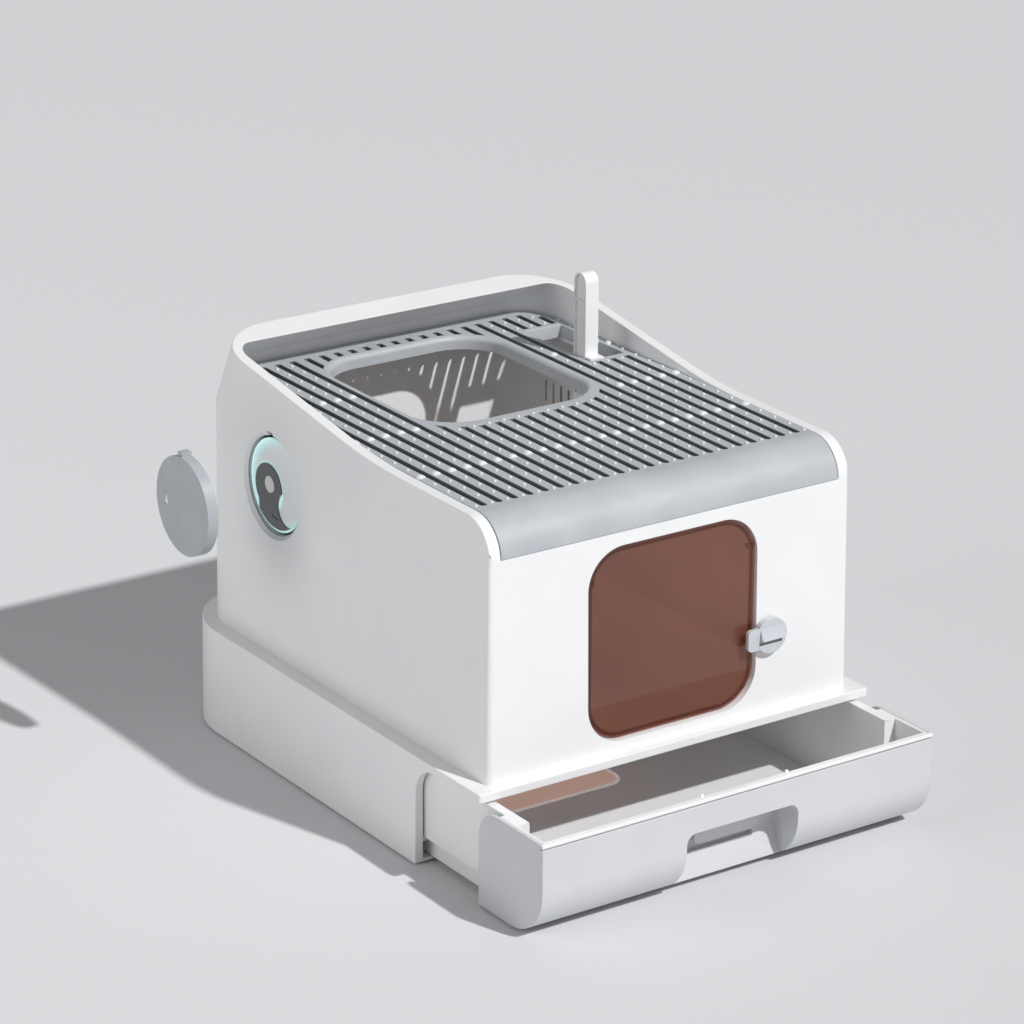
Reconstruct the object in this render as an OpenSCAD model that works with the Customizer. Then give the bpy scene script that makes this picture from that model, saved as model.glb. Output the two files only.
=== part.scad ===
/* [Base] */
// Width of the base at the floor
base_w = 400; // [380:1:420]
// Length of the base, front lip to back
base_len = 502; // [490:1:540]
// Height of the base's top ledge
base_h = 98.5; // [96:0.5:104]
// Thickness of the ledge that carries the hood
ledge_t = 7.5; // [6:0.5:9]
// Wall thickness of the base
base_wall = 4; // [3:0.5:5]
// Plan radius of the base's back corners
base_r = 83; // [70:1:95]
// How far the side walls stop behind the front lip
mouth_len = 94; // [88:1:110]

/* [Hood] */
// Ledge left beside the hood on each side
side_ledge = 16.6; // [14:0.2:20]
// Reach of the ledge in front of the hood
lip_reach = 10.4; // [8:0.2:12]
// Ledge left behind the hood
back_ledge = 19.5; // [16:0.5:24]
// Wall thickness of the hood
hood_wall = 3.2; // [2.4:0.2:3.6]
// Height of the level part of the rim
rim_z = 321; // [316:1:326]
// Width of the rim beside the grille
rim_w = 10.2; // [9:0.2:11]
// Radius of the rounded front edge
nose_r = 33; // [30:1:36]
// Slope of the rim towards the back
rim_slope = 8.5; // [7.5:0.25:9]
// Plan radius of the hood's back corners
hood_r = 58; // [54:1:62]

/* [Grille lid] */
// Thickness of the grille bars
lid_t = 12; // [10:0.5:13]
// Spacing of the slots
slot_pitch = 15; // [14.6:0.1:15.1]
// Width of each slot
slot_w = 6; // [5:0.25:7]
// Width of the entry hole
entry_w = 174; // [160:1:176]
// Length of the entry hole
entry_len = 200; // [180:1:204]

/* [Door] */
// Width of the front doorway
door_w = 171; // [166:1:174]
// Height of the front doorway
door_h = 170; // [160:1:174]
// Corner radius of the doorway
door_r = 35; // [30:1:38]
// Thickness of the flap
flap_t = 3; // [2.5:0.25:3.5]

/* [Drawer] */
// Clearance between the drawer front and the ledge above it
drawer_gap = 4; // [3:0.5:6]
// Radius of the drawer front's underside
belly_r = 45; // [38:1:48]
// How far out the drawer is drawn
drawer_out = 90; // [0:1:240]
// Width of the finger pull
pull_w = 113; // [90:1:130]

/* [Deodoriser] */
// Radius of the opening in the left wall
port_r = 44.2; // [42:0.2:46]
// How far the round cover is lifted off
cover_out = 88; // [0:1:120]

/* [Scoop] */
// Height of the scoop's grip above the grille
grip_h = 77; // [60:1:84]
// Width of the scoop's blade
blade_w = 88; // [80:1:90]

/* [Hidden] */
$fn = 96;

white = "#F1F1F1";
satin = "#B9BDC3";
amber = "#7A5547";
slate = "#4D4E52";

e = 0.01;
draft = 0.016;
tilt = atan(draft);

lip_y = -base_len / 2;
back_y = base_len / 2;
foot = 1.5;
ledge_z = base_h - ledge_t;
front_y = lip_y + lip_reach;
hood_back = back_y - back_ledge;
hood_w = base_w - 2 * side_ledge;
mouth_y = lip_y + mouth_len;
mouth_r = 24;

// Hood: side profile
nose_z = rim_z - nose_r;
nose_y = front_y + draft * (nose_z - base_h) + nose_r / cos(tilt);
bend_y = front_y + 137;
bend_r = 575;
slope_k = tan(rim_slope);
lean_z = rim_z - 12.2;
lean_a = 25.95;
lean_y = hood_back - draft * (lean_z - base_h);
form_top = rim_z + 60;

// Hood: the well that takes the grille
well_hw = hood_w / 2 - draft * (rim_z - base_h) - rim_w;
well_y = hood_back - 17.2;
well_r = 42;
well_a = 58.83;
well_top = rim_z + 10;
well_z = rim_z - lid_t - 0.3;
well_front = nose_z + 1;
mouth_corner = 16;
shelf_t = 3;
shelf_in = 8;

// Grille
lid_gap = 0.8;
lid_hw = well_hw - lid_gap;
lid_back = well_y - 1;
lid_r = well_r + 4;
slot_n = floor((lid_hw - slot_w / 2 - 5) / slot_pitch + 0.5);
slot_y0 = front_y + 43.5;
slot_y1 = well_y - 14.9;
bar_ys = [126, 226, 326];
pin_y = well_y - well_r - 7;
pin_z = rim_z - 4.5;
pin_r = 2.5;
shelf_back = pin_y - 7;
entry_y = front_y + 321;
entry_r = 44;
entry_edge = 5;
hatch_x0 = (slot_n - 3) * slot_pitch + 1;
hatch_x1 = (slot_n - 0.5) * slot_pitch + slot_w / 2;
hatch_y0 = front_y + 297;
hatch_y1 = hatch_y0 + 98;

// Door and latch
door_z = base_h + 9 + door_h / 2;
door_gap = 1.5;
collar_t = 3;
collar_len = 13;
flap_y = front_y + 4.8;
hinge_z = door_z + door_h / 2 - 29;
hinge_y = flap_y + flap_t / 2 + 0.6;
hinge_r = 1.5;
latch_x = door_w / 2 + 12;
latch_z = door_z - 25;
latch_r = 15.8;
latch_y = front_y + draft * (latch_z - latch_r - base_h) - 0.3;
latch_in = draft * latch_r + hood_wall + 0.6;
spindle_r = 2.2;

// Drawer
drawer_shift = -drawer_out;
drawer_h = ledge_z - drawer_gap;
front_hw = base_w / 2 - 2;
drawer_y = lip_y + 2.3;
drawer_back = back_y - 24;
drawer_z = 2;
cheek_y = mouth_y - 1.5;
cheek_r = mouth_r + 1;
front_t = 3;
tray_t = 2.5;
tray_off = front_t + 0.3;
tray_hw = front_hw - 8;
tray_in = tray_hw - 9;
tub_hw = tray_in + tray_t;
skirt_z = 23;
rim_t = 3.2;
rim_hw = front_hw - front_t;
pocket_y = drawer_y + 43;
tray_top = drawer_h + 1.5;
tray_r = base_r - 10;
floor_z = drawer_z + tray_off + tray_t;
pull_top = 60.5;
pull_r = 9;
pull_deep = 32;
label_w = 170;
label_d = 70;

// Deodoriser
port_y = front_y + 335.3;
port_z = base_h + 154;
side_x = -(hood_w / 2 - draft * (port_z - base_h));
bay_depth = 30;
bay_wall = 2.5;
disc_r = port_r - 2.6;
disc_x = side_x + 4.5;
button_y = port_y + 9;
button_z = port_z - 1.5;
button_r = 7.5;

// Scoop
grip_x = hatch_x0 + 0.5;
grip_y = hatch_y0 + 4.2;
grip_t = 14;
grip_d = 18;
blade_x = 27;
blade_top = 235;
blade_z = 112;

// Vent
vent_y = front_y + 398.7;
vent_z = base_h + 148.5;
vent_x = hood_w / 2 - draft * (vent_z - base_h) - hood_wall;
vent_n = 6;
vent_pitch = 12;
vent_out = vent_x - 0.8;
vent_in = vent_x - 9.5;
vent_y0 = vent_y - 38;
vent_y1 = vent_y + 36;
vent_turn = hood_back - hood_r - 3;

// ---------- shared shapes ----------

// Box with drafted walls: rf and rr are the front and back corner radii
module drafted_box(hw, y0, y1, h, rf, rr) {
  c = draft * h;
  ym = y1 - rr;
  rotate([90, 0, 0]) translate([0, 0, -ym])
    linear_extrude(ym - y0 - rf)
      polygon([[-hw, 0], [hw, 0], [hw - c, h], [c - hw, h]]);
  side_prism(hw - rf)
    polygon([[y0, 0], [ym, 0], [ym, h], [y0 + c, h]]);
  side_prism(hw - rr)
    polygon([[y0 + 2 * rf, 0], [y1, 0], [y1 - c, h], [y0 + 2 * rf, h]]);
  for (s = [-1, 1]) {
    translate([s * (hw - rr), ym, 0]) cylinder(h = h, r1 = rr, r2 = rr - c);
    translate([s * (hw - rf), y0 + rf, 0]) cylinder(h = h, r1 = rf, r2 = rf - c);
  }
}

// A side profile in Y and Z, spread over x = -hw .. hw
module side_prism(hw) {
  rotate([90, 0, 90]) translate([0, 0, -hw]) linear_extrude(2 * hw) children();
}

// A shape in Y and Z, spread from x0 to x1
module along_x(x0, x1) {
  rotate([90, 0, 90]) translate([0, 0, x0]) linear_extrude(x1 - x0) children();
}

// A shape in X and Z, spread from y0 to y1
module along_y(y0, y1) {
  translate([0, y1, 0]) rotate([90, 0, 0]) linear_extrude(y1 - y0) children();
}

module rounded_rect(w, h, r) {
  square([w - 2 * r, h], center = true);
  square([w, h - 2 * r], center = true);
  for (i = [-1, 1]) for (j = [-1, 1])
    translate([i * (w / 2 - r), j * (h / 2 - r)]) circle(r);
}

module bar_end_slot(x, y0, y1, w) {
  translate([x - w / 2, y0 + w / 2]) square([w, y1 - y0 - w]);
  translate([x, y0 + w / 2]) circle(d = w);
  translate([x, y1 - w / 2]) circle(d = w);
}

module screw(d, len) {
  translate([0, 0, -1.6]) difference() {
    cylinder(h = 1.6, r1 = d * 0.95, r2 = d * 0.95);
    translate([0, 0, -e]) for (a = [0, 90])
      rotate(a) translate([-d * 0.6, -0.4, 0]) cube([d * 1.2, 0.8, 0.9]);
  }
  translate([0, 0, -e]) cylinder(h = len, d = d);
}

// ---------- hood ----------

// Outline of the hood from the side, inset by i
module hood_side(i) {
  cy = bend_y;
  cz = rim_z + bend_r;
  r = bend_r + i;
  ty = cy + r * sin(rim_slope);
  tz = cz - r * cos(rim_slope);
  far = hood_back + 60;
  yt = nose_y - (nose_r - i) * cos(tilt);
  zt = nose_z + (nose_r - i) * sin(tilt);
  difference() {
    polygon([[nose_y, 0], [nose_y, rim_z - i], [cy, rim_z - i], [ty, tz],
      [far, tz + (far - ty) * slope_k], [far, 0]]);
    translate([cy, cz]) circle(r, $fn = 720);
  }
  translate([nose_y, nose_z]) circle(nose_r - i);
  polygon([[front_y - 20, 0], [front_y - 20, zt], [yt, zt], [nose_y, nose_z], [nose_y + 1, 0]]);
}

// Region in front of the leaning back wall, with its rounded corners
module hood_lean(i) {
  r = hood_r - i;
  hw = hood_w / 2 - i / cos(tilt) - r / cos(tilt);
  c = draft * form_top;
  z0 = draft * base_h;
  spin = atan(draft * cos(lean_a));
  translate([0, lean_y, lean_z]) rotate([lean_a, 0, 0]) translate([-250, -700, -400])
    cube([500, 700 - i - r, 800]);
  intersection() {
    translate([0, lean_y, lean_z]) rotate([lean_a, 0, 0]) translate([-250, -700, -400])
      cube([500, 700 - i, 800]);
    along_y(-400, 500)
      polygon([[-hw - z0, 0], [hw + z0, 0], [hw + z0 - c, form_top], [c - hw - z0, form_top]]);
  }
  for (s = [-1, 1])
    translate([s * (hw + z0 - draft * lean_z), lean_y, lean_z])
      translate([0, -(r + i) / cos(lean_a), 0])
        rotate([lean_a, 0, 0]) rotate([0, -s * spin, 0])
          translate([0, 0, -400]) cylinder(h = 800, r = r);
}

// The hood's solid form, inset by i on every side but the foot
module hood_form(i) {
  k = i / cos(tilt);
  intersection() {
    translate([0, 0, base_h])
      drafted_box(hood_w / 2 - k, front_y + k, hood_back - k, form_top - base_h, 6, hood_r - i);
    side_prism(300) hood_side(i);
    hood_lean(i);
  }
}

// The well for the grille, grown by o; z0 is its floor and zf its floor at the front
module well(o, z0, zf) {
  hw = well_hw + o;
  intersection() {
    union() {
      along_x(-hw, hw)
        polygon([[front_y - 5 - o, zf], [front_y - 5 - o, 420], [well_y - well_r, 420],
          [well_y - well_r, z0], [nose_y + 6 + o, z0], [nose_y + 6 + o, zf]]);
      translate([-hw + well_r + o, well_y - well_r - 1, z0])
        cube([2 * (hw - well_r - o), well_r + 1 + o, 420 - z0]);
      for (s = [-1, 1]) translate([s * (hw - well_r - o), well_y - well_r, z0])
        cylinder(h = 420 - z0, r = well_r + o);
    }
    translate([0, well_y, well_top]) rotate([well_a, 0, 0]) translate([0, 0, -500])
      linear_extrude(1000) well_mouth(hw, o);
  }
}

module well_mouth(hw, o) {
  r = mouth_corner;
  translate([-hw, -700]) square([2 * hw, 700 + o - r]);
  translate([-hw + r, -700]) square([2 * hw - 2 * r, 700 + o]);
  for (s = [-1, 1]) translate([s * (hw - r), o - r]) circle(r);
}

module doorway(grow, y0, y1) {
  along_y(y0, y1) translate([0, door_z])
    rounded_rect(door_w + 2 * grow, door_h + 2 * grow, door_r + grow);
}

module screw_spots() {
  for (s = [-1, 1]) for (y = [front_y + 16, hood_back - 62])
    translate([s * (hood_w / 2 - 7), y, 0]) children();
}

module port_tube(r, x0, x1) {
  translate([x0, port_y, port_z]) rotate([0, 90, 0]) cylinder(h = x1 - x0, r = r);
}

module vent_slots(w) {
  for (i = [0:vent_n - 1]) translate([vent_y + (i - (vent_n - 1) / 2) * vent_pitch, vent_z])
    rounded_rect(w, 21, w / 2 - e);
}

module hood_shell() color(white) difference() {
  union() {
    difference() {
      hood_form(0);
      difference() {
        translate([0, 0, -e]) hood_form(hood_wall);
        well(hood_wall, well_z - shelf_t, well_front - shelf_t);
      }
      intersection() {
        well(0, well_z, well_front);
        hood_lean(hood_wall);
      }
      shelf_opening();
    }
    door_collar();
    foot_bosses();
  }
  doorway(0, front_y - 5, front_y + 40);
  flap_sockets();
  port_tube(port_r, side_x - 10, side_x + 20);
  translate([side_x - 1.4, port_y, port_z]) rotate([0, 90, 0])
    cylinder(h = 4, r1 = port_r + 4, r2 = port_r - e);
  port_notch();
  along_x(hood_w / 2 - 20, hood_w / 2 + 5) vent_slots(3.2);
  latch_bore(spindle_r + 0.3);
  lid_pin_pair(pin_r + 0.15, well_hw - 2, well_hw + hood_wall + 1);
  screw_spots() translate([0, 0, base_h - e]) cylinder(h = 12, d = 3.4);
}

// Opening below the grille: it leaves a shelf along the front and sides
module shelf_opening() {
  hw = well_hw - shelf_in;
  y0 = front_y + 14;
  translate([-hw, y0, nose_z - 15]) cube([2 * hw, shelf_back - y0 + e, 60]);
  intersection() {
    translate([-300, shelf_back, nose_z - 15]) cube([600, 200, 40]);
    well(0, nose_z - 15, nose_z - 15);
  }
}

module door_collar() {
  difference() {
    doorway(collar_t, front_y + hood_wall - 0.5, front_y + collar_len + 3);
    doorway(-e, front_y - 5, front_y + 40);
  }
}

module foot_bosses() {
  intersection() {
    hood_form(1);
    screw_spots() translate([0, 0, base_h + 0.2]) cylinder(h = 16, d = 9);
  }
}

module flap_sockets() {
  for (s = [-1, 1]) translate([s * (door_w / 2 - 1), hinge_y, hinge_z])
    rotate([0, s * 90, 0]) cylinder(h = 3.6, r = hinge_r + 0.15);
}

module port_notch() {
  translate([side_x - 5, port_y - 1.5, port_z + port_r - 3]) cube([20, 9, 7]);
}

module latch_bore(r) {
  translate([latch_x, front_y + 12, latch_z]) rotate([90, 0, 0]) cylinder(h = 30, r = r);
}

module hood_screws() color("#9A9CA0") {
  screw_spots() translate([0, 0, ledge_z]) screw(3.4, 17);
}

// ---------- base ----------

module base_form(i, z0, z1) {
  k = i / cos(tilt);
  intersection() {
    translate([0, 0, foot])
      drafted_box(base_w / 2 - k, lip_y - draft * ledge_z + k, back_y - k, 140, 4, base_r - i);
    translate([-300, lip_y - 10, z0]) cube([600, 800, z1 - z0]);
  }
}

module base_shell() color(white) difference() {
  union() {
    difference() {
      base_form(0, foot, base_h);
      base_form(base_wall, foot + 3, ledge_z);
      base_window();
    }
    mouth_post();
    locating_rim();
  }
  base_mouth();
  screw_spots() translate([0, 0, ledge_z - 1]) cylinder(h = ledge_t + 2, d = 3.5);
}

// Opening through the ledge, under the hood
module base_window() {
  translate([-hood_w / 2 + 24, front_y + 12, ledge_z - 1])
    cube([hood_w - 48, hood_back - front_y - 60, ledge_t + 2]);
}

// Low rim that centres the hood on the ledge
module locating_rim() {
  w = hood_w - 2 * hood_wall - 1;
  for (s = [-1, 1]) translate([s * (w / 2 - 1.5), 0, base_h - e])
    translate([-1.5, front_y + 60, 0]) cube([3, hood_back - front_y - 160, 6]);
}

// Thicker edge of the side walls along the drawer's mouth
module mouth_post() {
  intersection() {
    base_form(0, foot, ledge_z + 1);
    for (s = [-1, 1]) translate([s > 0 ? tray_hw + 1.5 : -300, mouth_y - mouth_r, 0])
      cube([300 - tray_hw - 1.5, mouth_r + 3, 200]);
  }
}

// The drawer's mouth: the side walls stop short, with a rounded top corner
module base_mouth() {
  side_prism(300) difference() {
    translate([lip_y - 10, -10]) square([mouth_len + 10, ledge_z + 10]);
    difference() {
      translate([mouth_y - mouth_r, ledge_z - mouth_r]) square([mouth_r + 1, mouth_r + 1]);
      translate([mouth_y - mouth_r, ledge_z - mouth_r]) circle(mouth_r);
    }
  }
}

// Pads near the corners and one under the middle of the floor plate
module base_feet() color("#3A3B3D") {
  for (s = [-1, 1]) for (y = [mouth_y + 22, back_y - 60])
    translate([s * (base_w / 2 - 48), y, 0]) cylinder(h = foot, d = 22);
  cylinder(h = foot, d = 22);
}

module drawer_rails() color("#E6E6E6") intersection() {
  for (s = [-1, 1]) translate([s > 0 ? tub_hw + 1.5 : -base_w / 2, mouth_y + 4, skirt_z - 5])
    cube([base_w / 2 - tub_hw - 1.5, drawer_back - mouth_y - 84, 4.7]);
  base_form(base_wall, foot, ledge_z);
}

// ---------- deodoriser ----------

module deodoriser_bay() color(white) difference() {
  union() {
    port_tube(port_r + bay_wall, side_x + hood_wall + 1.2, side_x + bay_depth);
    port_tube(port_r + 7, side_x + hood_wall + 1.2, side_x + hood_wall + 3.4);
  }
  port_tube(port_r, side_x - 1, side_x + bay_depth - bay_wall);
  port_notch();
}

module deodoriser_body() color("#5C5D62") difference() {
  port_tube(disc_r, disc_x + 1.5, side_x + bay_depth - bay_wall - e);
  port_tube(disc_r - 2, disc_x + 4.5, side_x + bay_depth - bay_wall - 2.5);
  translate([disc_x - 1, button_y, button_z]) rotate([0, 90, 0]) cylinder(h = 8, r = 5);
}

module face_outline(i) {
  difference() {
    union() {
      translate([port_y + 12, port_z - 5]) circle(21.5 - i);
      intersection() {
        translate([port_y, port_z]) circle(disc_r - 2 - i);
        translate([port_y - 26 + i, port_z - 60]) square([54 - 2 * i, 48 - i]);
      }
    }
    translate([port_y - 18, port_z - 18]) circle(15 + i);
  }
}

module deodoriser_lens() color("#A8E8E4") difference() {
  port_tube(disc_r, disc_x, disc_x + 1.5);
  along_x(disc_x - 1, disc_x + 3) face_outline(0);
}

module deodoriser_face() color(slate) difference() {
  along_x(disc_x - 1, disc_x + 1.5 - e) face_outline(0.15);
  translate([disc_x - 3, button_y, button_z]) rotate([0, 90, 0]) cylinder(h = 8, r = button_r + 0.3);
  translate([disc_x - 1.5, port_y - 4, port_z - 31]) rotate([8, 0, 0]) cube([1, 11, 1.4]);
}

module deodoriser_button() color("#D6D8DB") {
  translate([disc_x - 1.6, button_y, button_z]) rotate([0, 90, 0]) cylinder(h = 2, r = button_r);
  translate([disc_x, button_y, button_z]) rotate([0, 90, 0]) cylinder(h = 3.6, r = 2);
}

module button_spring() color("#9A9CA0") {
  translate([disc_x + 4.75, button_y, button_z]) rotate([0, 90, 0])
    difference() {
      cylinder(h = 3.65, r = 4.4);
      translate([0, 0, -1]) cylinder(h = 6, r = 3.4);
    }
}

module circuit_board() color("#2F5D44") {
  port_tube(disc_r - 2.3, disc_x + 8.4, disc_x + 10);
}

module battery() color("#8C9096") {
  translate([disc_x + 10.2, port_y - 24, port_z - 14]) cube([7, 48, 28]);
}

module side_cover() color("#C4C7CB") translate([-cover_out, 0, 0]) {
  difference() {
    port_tube(port_r - 0.5, side_x, side_x + 10);
    port_tube(port_r - 2, side_x + 2.4, side_x + 11);
    translate([side_x - 1, port_y + 28, port_z]) rotate([0, 90, 0])
      linear_extrude(1.6) polygon([[-6, -1], [6, 3], [6, -4]]);
  }
  translate([side_x + 1, port_y - 0.9, port_z + port_r - 2]) cube([9, 7.8, 5.2]);
}

// ---------- vent ----------

// Filter holder behind the slots; its back end follows the hood's corner
module vent_panel() color("#E4E4E4") difference() {
  translate([0, 0, vent_z - 22]) linear_extrude(44)
    polygon([[vent_in, vent_y0], [vent_out, vent_y0], [vent_out, vent_turn],
      [vent_out - 6.5, vent_y1], [vent_in, vent_y1]]);
  translate([vent_in + 2, vent_y0 + 2, vent_z - 20]) cube([7, vent_turn - vent_y0 - 3, 40]);
  along_x(vent_in - 1, vent_out + 1) vent_slots(3.2);
}

module vent_pad() color("#4A4642") {
  translate([vent_in + 2.3, vent_y0 + 2.3, vent_z - 19.7])
    cube([5, vent_turn - vent_y0 - 3.6, 39.4]);
}

// ---------- grille lid ----------

module lid_side() {
  difference() {
    union() {
      translate([nose_y, nose_z]) circle(nose_r);
      translate([nose_y, rim_z - lid_t]) square([lid_back - nose_y, lid_t]);
    }
    translate([nose_y, nose_z]) circle(nose_r - 3.2);
    translate([nose_y - 100, nose_z - 100 + 1.5]) square([400, 100]);
    translate([nose_y, nose_z - 50]) square([100, 50 + nose_r - lid_t]);
  }
}

module lid_panel() color(satin) difference() {
  union() {
    intersection() {
      side_prism(lid_hw) lid_side();
      translate([0, 0, nose_z - 20]) linear_extrude(100) {
        translate([-lid_hw, front_y - 5]) square([2 * lid_hw, lid_back - front_y + 5 - lid_r]);
        translate([-lid_hw + lid_r, front_y]) square([2 * lid_hw - 2 * lid_r, lid_back - front_y]);
        for (s = [-1, 1]) translate([s * (lid_hw - lid_r), lid_back - lid_r]) circle(lid_r);
      }
    }
    cross_bars();
    bar_studs();
  }
  translate([0, 0, rim_z - lid_t - 20]) linear_extrude(40) slot_field();
  entry_cut();
  translate([hatch_x0, hatch_y0, rim_z - lid_t - 5]) cube([hatch_x1 - hatch_x0, hatch_y1 - hatch_y0, 40]);
  lid_pin_pair(pin_r, lid_hw - 7, lid_hw + 5);
}

// Back end of a slot: the outer ones stop short of the lid's rounded corners
function slot_end(x) = min(slot_y1, lid_back - lid_r
  + sqrt(pow(lid_r - 4, 2) - pow(max(0, x + slot_w / 2 - lid_hw + lid_r), 2)));

// Slots along Y, kept clear of the entry hole's frame
module slot_field() {
  difference() {
    for (i = [0:slot_n - 1]) for (s = [-1, 1])
      bar_end_slot(s * (i + 0.5) * slot_pitch, slot_y0, slot_end((i + 0.5) * slot_pitch), slot_w);
    translate([0, entry_y - 4]) rounded_rect(entry_w + 12, entry_len + 22, entry_r + 5);
    translate([hatch_x0 - 5, hatch_y0 - 6]) square([hatch_x1 - hatch_x0 + 10, 6]);
    translate([hatch_x0 - 5, hatch_y1]) square([hatch_x1 - hatch_x0 + 10, 6]);
  }
}

module entry_cut() {
  translate([0, entry_y, 0]) {
    translate([0, 0, rim_z - 30]) linear_extrude(60) rounded_rect(entry_w, entry_len, entry_r);
    translate([0, 0, rim_z - entry_edge]) entry_flare();
  }
}

// Rounded upper edge of the entry hole
module entry_flare() {
  hx = entry_w / 2 - entry_r;
  hy = entry_len / 2 - entry_r;
  for (i = [-1, 1]) {
    for (j = [-1, 1]) translate([i * hx, j * hy, 0]) rotate_extrude() flare_profile(entry_r);
    translate([0, i * hy, 0]) rotate([90, 0, 90]) translate([0, 0, -hx])
      linear_extrude(2 * hx) scale_y(i) flare_profile(entry_r);
    translate([i * hx, hy, 0]) rotate([90, 0, 0])
      linear_extrude(2 * hy) scale_y(i) flare_profile(entry_r);
  }
}

module scale_y(s) {
  if (s > 0) children();
  else mirror([1, 0, 0]) children();
}

module flare_profile(r) {
  difference() {
    translate([0, 0]) square([r + entry_edge, entry_edge + 1]);
    translate([r + entry_edge, 0]) circle(entry_edge);
  }
}

module cross_bars() {
  for (y = bar_ys) for (i = [-slot_n:slot_n]) {
    x = i * slot_pitch;
    if (abs(x) < entry_w / 2 + 6 ? abs(front_y + y - entry_y) > entry_len / 2 + 12 : !in_hatch(x, front_y + y))
      translate([x, front_y + y, rim_z - 2]) rotate([90, 0, 0])
        translate([0, 0, -3]) cylinder(h = 6, r = 4.2, $fn = 24);
  }
}

function in_hatch(x, y) = x > hatch_x0 - 4 && x < hatch_x1 + 4 && y > hatch_y0 - 4 && y < hatch_y1 + 4;

function on_lid(x, y) = abs(x) < lid_hw - 3
  && norm([max(0, abs(x) - lid_hw + lid_r), max(0, y - lid_back + lid_r)]) < lid_r - 3;

module bar_studs() {
  for (i = [-slot_n:slot_n]) for (j = [0:19]) {
    x = i * slot_pitch;
    y = slot_y0 + 2 + j * 20;
    if ((abs(x) > entry_w / 2 + 6 || abs(y - entry_y) > entry_len / 2 + 14) && !in_hatch(x, y) && on_lid(x, y))
      translate([x - 1.2, y - 1.2, rim_z - e]) cube([2.4, 2.4, 1.4]);
  }
}

module lid_pin_pair(r, x0, x1) {
  for (s = [-1, 1]) translate([s > 0 ? x0 : -x1, pin_y, pin_z])
    rotate([0, 90, 0]) cylinder(h = x1 - x0, r = r);
}

module lid_pins() color("#9A9CA0") {
  lid_pin_pair(pin_r, lid_hw - 7, well_hw + 2.6);
}

// ---------- door ----------

module door_flap() color(amber) {
  difference() {
    along_y(flap_y, flap_y + flap_t) translate([0, door_z])
      rounded_rect(door_w - 2 * door_gap, door_h - 2 * door_gap, door_r - door_gap);
    flap_pin_pair(hinge_r + e);
  }
  difference() {
    for (s = [-1, 1]) translate([s * (door_w / 2 - door_gap - 7), hinge_y, hinge_z])
      rotate([0, s * 90, 0]) cylinder(h = 6.5, r = 3.2);
    flap_pin_pair(hinge_r);
  }
}

module flap_pin_pair(r) {
  for (s = [-1, 1]) translate([s * (door_w / 2 - door_gap - 7), hinge_y, hinge_z])
    rotate([0, s * 90, 0]) cylinder(h = door_gap + 9.2, r = r);
}

module flap_pins() color("#9A9CA0") {
  flap_pin_pair(hinge_r);
}

module latch_knob() color("#C4C7CE") difference() {
  union() {
    translate([latch_x, latch_y, latch_z]) rotate([90, 0, 0]) cylinder(h = 5.5, r = latch_r);
    along_y(latch_y - 5.5, latch_y - 1.5) translate([latch_x - 16, latch_z - 1]) rounded_rect(17, 19, 4);
    along_x(latch_x - 12, latch_x + 12)
      polygon([[latch_y - 5, latch_z + 9], [latch_y - 10, latch_z - 2], [latch_y - 5, latch_z - 3]]);
  }
  along_x(latch_x - 12.5, latch_x + 11)
    polygon([[latch_y - 6, latch_z - 3], [latch_y - 2.5, latch_z - 4], [latch_y - 2.5, latch_z - 7], [latch_y - 6, latch_z - 7]]);
  translate([latch_x, latch_y - 2.4, latch_z]) rotate([-90, 0, 0]) cylinder(h = 10, r = spindle_r);
}

module latch_spindle() color("#9A9CA0") {
  translate([latch_x, latch_y - 2.4, latch_z]) rotate([-90, 0, 0]) {
    cylinder(h = latch_in + 3, r = spindle_r);
    translate([0, 0, latch_in + 2.4]) cylinder(h = 1.6, r = 5);
  }
}

// ---------- drawer ----------

// Side outline of the drawer's front box, inset by i
module belly_side(i) {
  y0 = drawer_y + i;
  z0 = drawer_z + i;
  r = belly_r - i;
  translate([y0 + r, z0]) square([cheek_y - y0 - r, tray_top - z0]);
  translate([y0, z0 + r]) square([r + e, tray_top - z0 - r]);
  intersection() {
    translate([y0 + r, z0 + r]) circle(r);
    translate([y0 - 1, z0 - 1]) square([r + 1 + e, r + 2]);
  }
}

// Rounds the top of the cheeks down to their upright back edge
module cheek_side(i) {
  difference() {
    belly_side(i);
    difference() {
      translate([cheek_y - cheek_r, tray_top - cheek_r]) square([cheek_r + 1, cheek_r + 5]);
      translate([cheek_y - cheek_r, tray_top - cheek_r]) circle(cheek_r);
    }
  }
}

// Space behind the finger pull: lip above, ramp below, open at the foot
module finger_pull() {
  y = drawer_y;
  intersection() {
    side_prism(pull_w / 2) polygon([[y - 5, drawer_z - 5], [y - 5, pull_top],
      [y + pull_deep - 4, pull_top], [y + pull_deep, 31], [y + 24, 10], [y + 22, drawer_z - 5]]);
    along_y(y - 6, y + pull_deep + 1) pull_mouth();
  }
  along_y(y + 20, y + pull_deep + 5) pull_recess();
}

module pull_mouth() {
  translate([0, pull_top / 2 - 20]) rounded_rect(pull_w, pull_top + 40, pull_r);
}

// Deeper part for the fingertips, left of and below the bright back wall
module pull_recess() {
  difference() {
    intersection() {
      translate([-0.1 * pull_w, 46]) rounded_rect(0.8 * pull_w, 40, 2.7);
      pull_mouth();
    }
    translate([60 - 0.23 * pull_w, 61.5]) rounded_rect(120, 60, 6);
  }
}

module pull_block(grow) {
  translate([-pull_w / 2 - 3 - grow, drawer_y - 1, drawer_z - 1])
    cube([pull_w + 6 + 2 * grow, pull_deep + 8 + grow, pull_top + 2 + grow - drawer_z]);
}

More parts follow.
